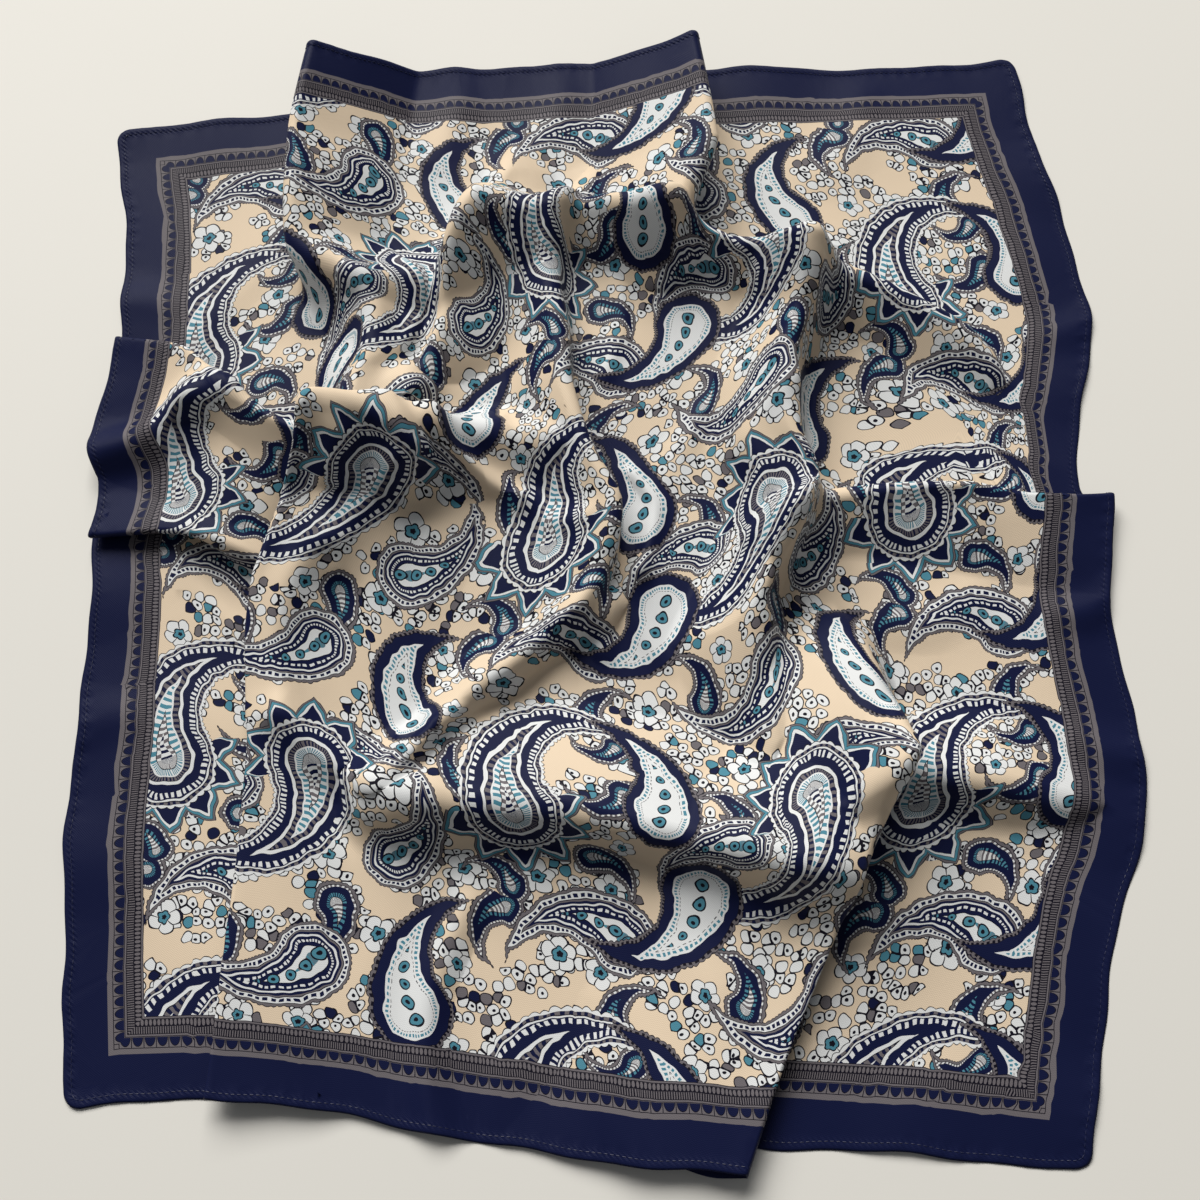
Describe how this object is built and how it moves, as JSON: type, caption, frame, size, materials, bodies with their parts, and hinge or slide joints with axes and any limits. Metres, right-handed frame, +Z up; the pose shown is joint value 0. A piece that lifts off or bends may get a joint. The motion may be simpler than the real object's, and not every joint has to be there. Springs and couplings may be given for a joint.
{
  "type": "bandana",
  "caption": "Square paisley bandana with a dark border, dropped face up on a table in soft folds, its hems pleated flat.",
  "frame": {"origin": "centre of the bounding box at its lowest face, on the surface that the cloth lies on", "axes": "+Z up from the table, +X to the right and +Y away from the front hem, as the picture shows it"},
  "size_m": [0.594, 0.663, 0.0677],
  "materials": {
    "printed_satin": "satin twill, printed"
  },
  "bodies": {
    "root": {"cloth": "printed_satin"}
  },
  "joints": []
}
